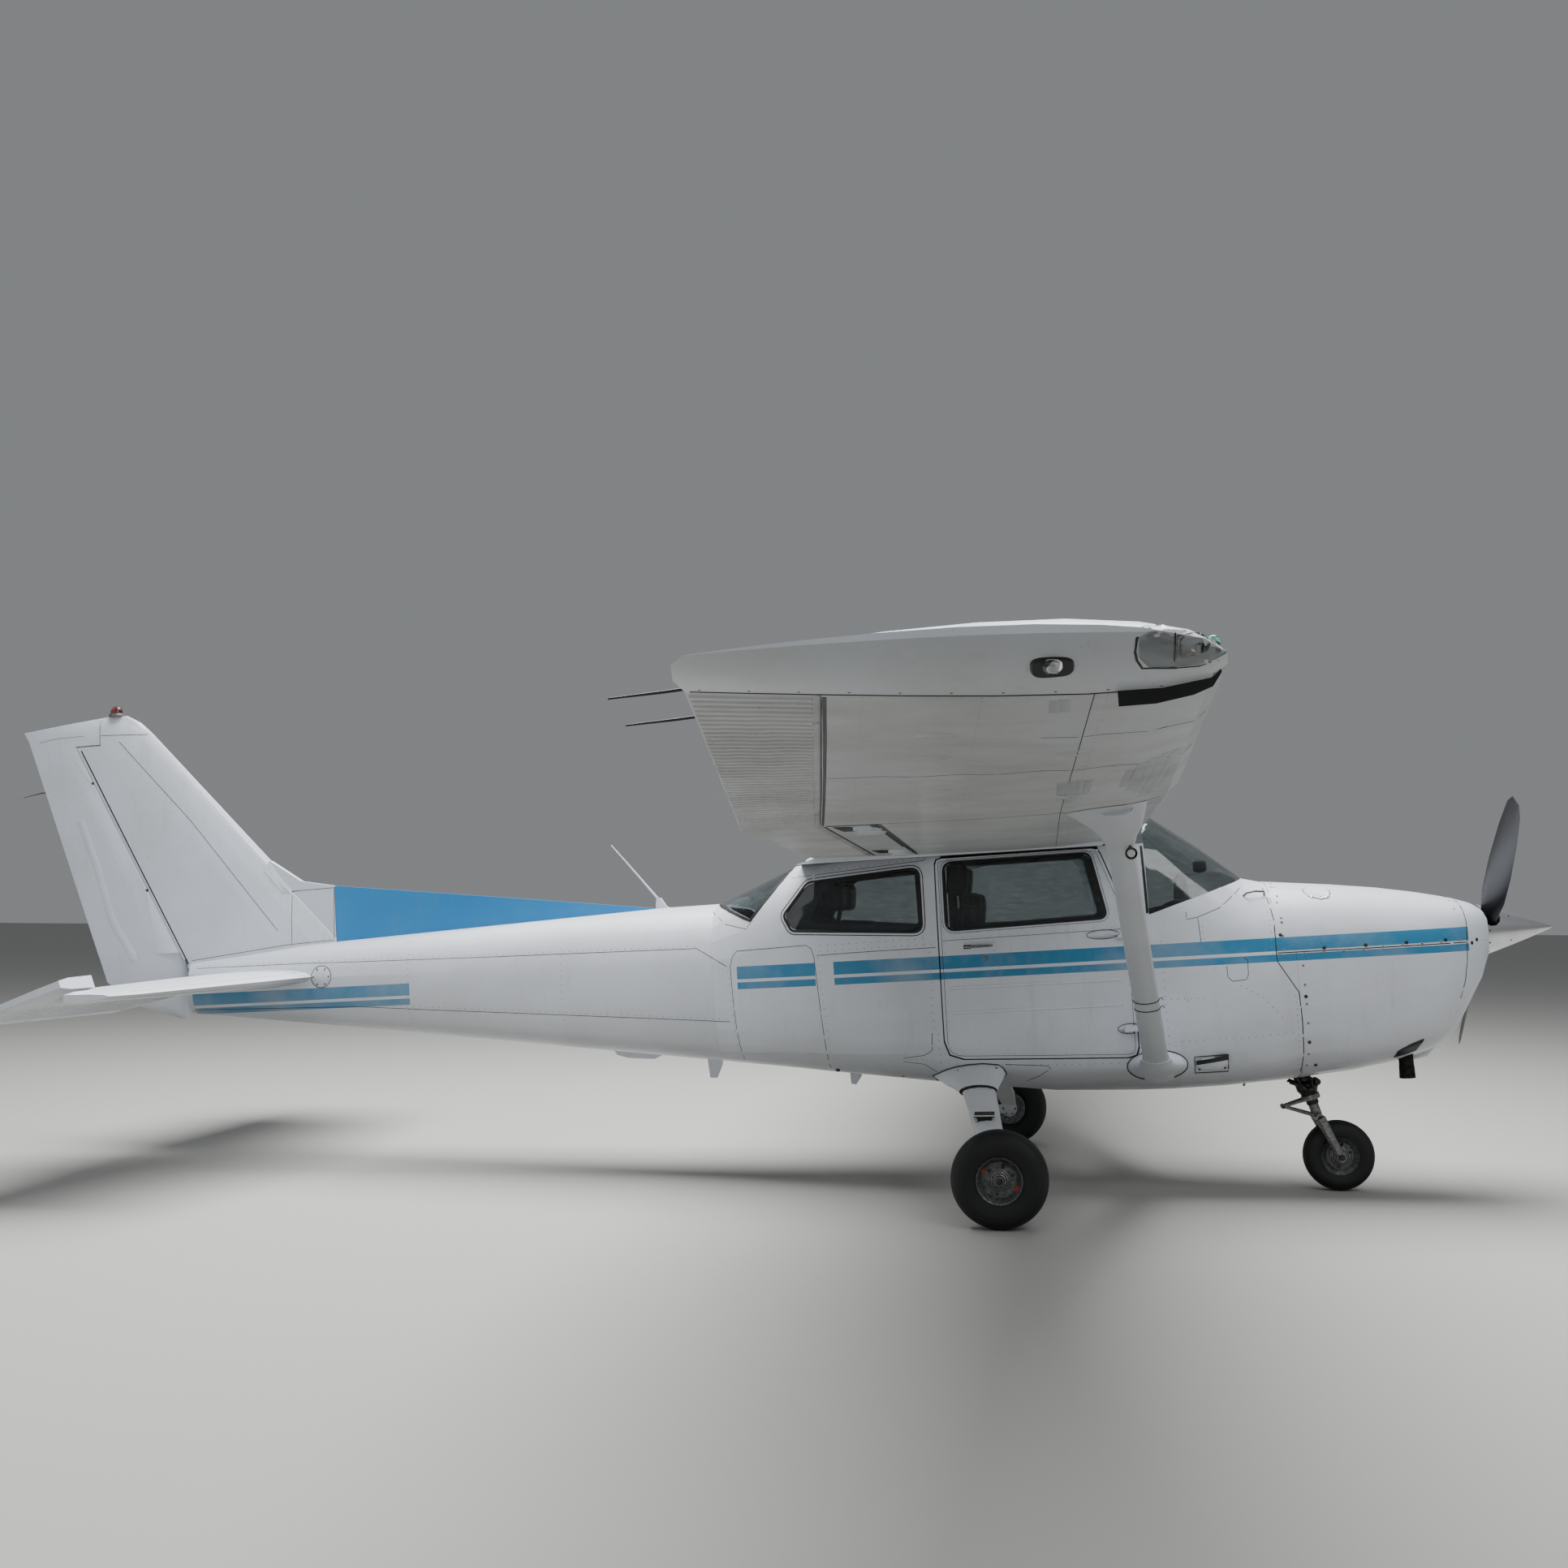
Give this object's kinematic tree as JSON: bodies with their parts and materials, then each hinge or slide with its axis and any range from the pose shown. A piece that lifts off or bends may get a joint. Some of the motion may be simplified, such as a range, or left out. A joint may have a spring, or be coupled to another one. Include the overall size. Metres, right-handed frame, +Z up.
{
  "type": "light aircraft",
  "caption": "High-wing light aircraft with strutted wings, a closed cabin, fixed nose-wheel landing gear, a front propeller, and hinged doors and control surfaces",
  "frame": {"origin": "on the ground, under the middle of the bounding box", "axes": "+X forward to the propeller, +Y to the pilot's left (port), +Z up"},
  "size_m": [8.2666, 11, 2.5118],
  "materials": {
    "white_paint": "weathered gloss white paint on riveted aluminium sheet",
    "leg_paint": "weathered gloss white paint on steel tube",
    "blue_paint": "light blue paint",
    "dull_white_paint": "dull, streaked grey-white paint on riveted aluminium sheet",
    "bare_alloy": "bare machined or cast alloy",
    "bare_steel": "dull steel with grime",
    "polished_alloy": "polished spun alloy",
    "blade_paint": "satin dark grey paint on forged alloy",
    "window": "clear, slightly smoked acrylic sheet",
    "beacon_lens": "red moulded lens",
    "tyre": "worn black rubber",
    "upholstery": "grey woven seat cover",
    "panel_trim": "matt black crackle finish"
  },
  "bodies": {
    "airframe": {"upper_cowl": "white_paint", "lower_cowl": "white_paint", "engine": "bare_steel", "exhaust_pipe": "bare_steel", "firewall": "bare_steel", "forward_fuselage": "white_paint", "cabin_floor": "white_paint", "cabin_roof": "white_paint", "tailcone": "white_paint", "windshield": "window", "rear_window": "window", "instrument_panel": "panel_trim", "rear_seat": "upholstery", "fin": "white_paint", "dorsal_fin": "blue_paint", "tailplane": "white_paint", "beacon": "beacon_lens", "nose_leg": "leg_paint", "left_cabin_side": "white_paint", "left_rear_side_window": "window", "left_front_seat": "upholstery", "left_wing": "dull_white_paint", "left_wing_tip": "white_paint", "left_wing_strut": "white_paint", "left_main_gear": "leg_paint", "right_cabin_side": "white_paint", "right_rear_side_window": "window", "right_front_seat": "upholstery", "right_wing": "dull_white_paint", "right_wing_tip": "white_paint", "right_wing_strut": "white_paint", "right_main_gear": "leg_paint"},
    "propeller": {"propeller": "blade_paint", "spinner": "polished_alloy"},
    "nose_fork": {"nose_fork": "bare_steel"},
    "nose_wheel": {"nose_tyre": "tyre", "nose_wheel": "bare_alloy"},
    "left_main_wheel": {"left_main_tyre": "tyre", "left_main_wheel": "bare_alloy"},
    "right_main_wheel": {"right_main_tyre": "tyre", "right_main_wheel": "bare_alloy"},
    "left_door": {"left_door": "white_paint", "left_door_window": "window"},
    "right_door": {"right_door": "white_paint", "right_door_window": "window"},
    "baggage_door": {"baggage_door": "white_paint"},
    "left_flap": {"left_flap": "dull_white_paint"},
    "right_flap": {"right_flap": "dull_white_paint"},
    "left_aileron": {"left_aileron": "dull_white_paint"},
    "right_aileron": {"right_aileron": "dull_white_paint"},
    "elevator": {"elevator": "white_paint", "trim_tab": "white_paint"},
    "rudder": {"rudder": "white_paint"}
  },
  "joints": [
    {"name": "propeller_spin", "type": "hinge", "parent": "airframe", "child": "propeller", "pos_m": [3.812, 0, 1.29826], "axis": [0.9979, 0, 0.0645], "continuous": true},
    {"name": "left_wheel_spin", "type": "hinge", "parent": "airframe", "child": "left_main_wheel", "pos_m": [1.4409, 1.276, 0.21599], "axis": [0, 1, 0], "continuous": true},
    {"name": "right_wheel_spin", "type": "hinge", "parent": "airframe", "child": "right_main_wheel", "pos_m": [1.4409, -1.276, 0.21599], "axis": [0, 1, 0], "continuous": true},
    {"name": "nose_steering", "type": "hinge", "parent": "airframe", "child": "nose_fork", "pos_m": [2.95663, 0, 0.47034], "axis": [-0.3206, 0, 0.9472], "range_deg": [-30, 30]},
    {"name": "nose_wheel_spin", "type": "hinge", "parent": "nose_fork", "child": "nose_wheel", "pos_m": [3.09111, 0, 0.173], "axis": [0, 1, 0], "continuous": true},
    {"name": "left_door_hinge", "type": "hinge", "parent": "airframe", "child": "left_door", "pos_m": [2.07687, 0.562, 1.04276], "axis": [0.0645, 0, -0.9979], "range_deg": [0, 70]},
    {"name": "right_door_hinge", "type": "hinge", "parent": "airframe", "child": "right_door", "pos_m": [2.07687, -0.562, 1.04276], "axis": [-0.0645, 0, 0.9979], "range_deg": [0, 70]},
    {"name": "baggage_door_hinge", "type": "hinge", "parent": "airframe", "child": "baggage_door", "pos_m": [0.45696, 0.516, 0.95804], "axis": [0.0645, 0, -0.9979], "range_deg": [0, 90]},
    {"name": "left_flap_hinge", "type": "hinge", "parent": "airframe", "child": "left_flap", "pos_m": [0.78748, 0.604, 1.68902], "axis": [0.0021, -0.9995, -0.0325], "range_deg": [0, 30]},
    {"name": "right_flap_hinge", "type": "hinge", "parent": "airframe", "child": "right_flap", "pos_m": [0.78748, -0.604, 1.68902], "axis": [-0.0021, -0.9995, 0.0325], "range_deg": [0, 30]},
    {"name": "left_aileron_hinge", "type": "hinge", "parent": "airframe", "child": "left_aileron", "pos_m": [0.78339, 2.547, 1.75234], "axis": [0.1307, 0.9896, 0.0592], "range_deg": [-17.5, 17.5]},
    {"name": "right_aileron_hinge", "type": "hinge", "parent": "airframe", "child": "right_aileron", "pos_m": [0.78339, -2.547, 1.75234], "axis": [-0.1307, 0.9896, -0.0592], "range_deg": [-17.5, 17.5]},
    {"name": "elevator_hinge", "type": "hinge", "parent": "airframe", "child": "elevator", "pos_m": [-2.99805, 0, 0.95508], "axis": [0, 1, 0], "range_deg": [-6, 45]},
    {"name": "rudder_hinge", "type": "hinge", "parent": "airframe", "child": "rudder", "pos_m": [-3.13211, 0, 1.10674], "axis": [-0.5048, 0, 0.8632], "range_deg": [-16.5, 16.5]}
  ],
  "couplings": [
    {"joint": "right_flap_hinge", "follows": "left_flap_hinge", "ratio": 1},
    {"joint": "right_aileron_hinge", "follows": "left_aileron_hinge", "ratio": -1}
  ]
}
